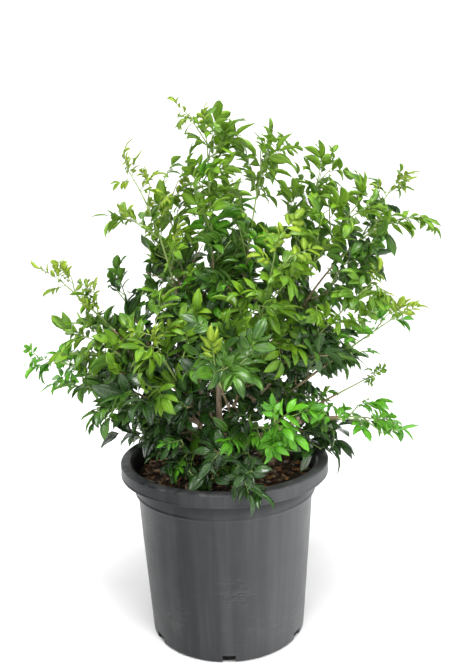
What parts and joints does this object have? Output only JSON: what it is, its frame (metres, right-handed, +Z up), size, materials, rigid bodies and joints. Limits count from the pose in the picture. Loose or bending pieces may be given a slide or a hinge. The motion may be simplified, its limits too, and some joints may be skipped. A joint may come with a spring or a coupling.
{
  "type": "potted shrub",
  "caption": "Bushy leafy shrub with slender forking stems, standing in a round black nursery pot filled with potting mix.",
  "frame": {"origin": "centre of the flat underside of the pot, on the floor", "axes": "+Z is up along the pot's axis, -Y is the side seen in the picture, and +X is to its right"},
  "size_m": [0.6568, 0.5249, 0.8358],
  "materials": {
    "pot_plastic": "satin",
    "potting_mix": "matte",
    "bark": "matte",
    "foliage": "satin"
  },
  "bodies": {
    "root": {"pot": "pot_plastic", "potting_mix": "potting_mix", "trunk": "bark", "bough_leader": "bark", "bough_upper_right": "bark", "bough_top_right": "bark", "bough_upper_mid": "bark", "bough_upper_left": "bark", "bough_left_arm": "bark", "bough_left_high": "bark", "bough_left_low": "bark", "bough_left_mid": "bark", "bough_left_spray": "bark", "bough_right_arm": "bark", "bough_right_out": "bark", "bough_right_high": "bark", "bough_right_mid": "bark", "bough_right_low": "bark", "bough_right_sparse": "bark", "bough_right_droop": "bark", "bough_left_front": "bark", "bough_centre_right": "bark", "bough_centre_front": "bark", "bough_right_front": "bark", "bough_back_left": "bark", "bough_back": "bark", "bough_back_right": "bark", "bough_back_low_left": "bark", "foliage_leader": "foliage", "foliage_upper_right": "foliage", "foliage_top_right": "foliage", "foliage_upper_mid": "foliage", "foliage_upper_left": "foliage", "foliage_left_arm": "foliage", "foliage_left_high": "foliage", "foliage_left_low": "foliage", "foliage_left_mid": "foliage", "foliage_left_spray": "foliage", "foliage_low_left": "foliage", "foliage_low_left_back": "foliage", "foliage_right_arm": "foliage", "foliage_right_out": "foliage", "foliage_right_high": "foliage", "foliage_right_mid": "foliage", "foliage_right_low": "foliage", "foliage_right_sparse": "foliage", "foliage_right_droop": "foliage", "foliage_front_right": "foliage", "foliage_front": "foliage", "foliage_front_left": "foliage", "foliage_left_front": "foliage", "foliage_centre_right": "foliage", "foliage_centre_front": "foliage", "foliage_right_front": "foliage", "foliage_back_left": "foliage", "foliage_back": "foliage", "foliage_back_right": "foliage", "foliage_back_low_left": "foliage", "foliage_back_low_right": "foliage", "foliage_back_low": "foliage"}
  },
  "joints": []
}
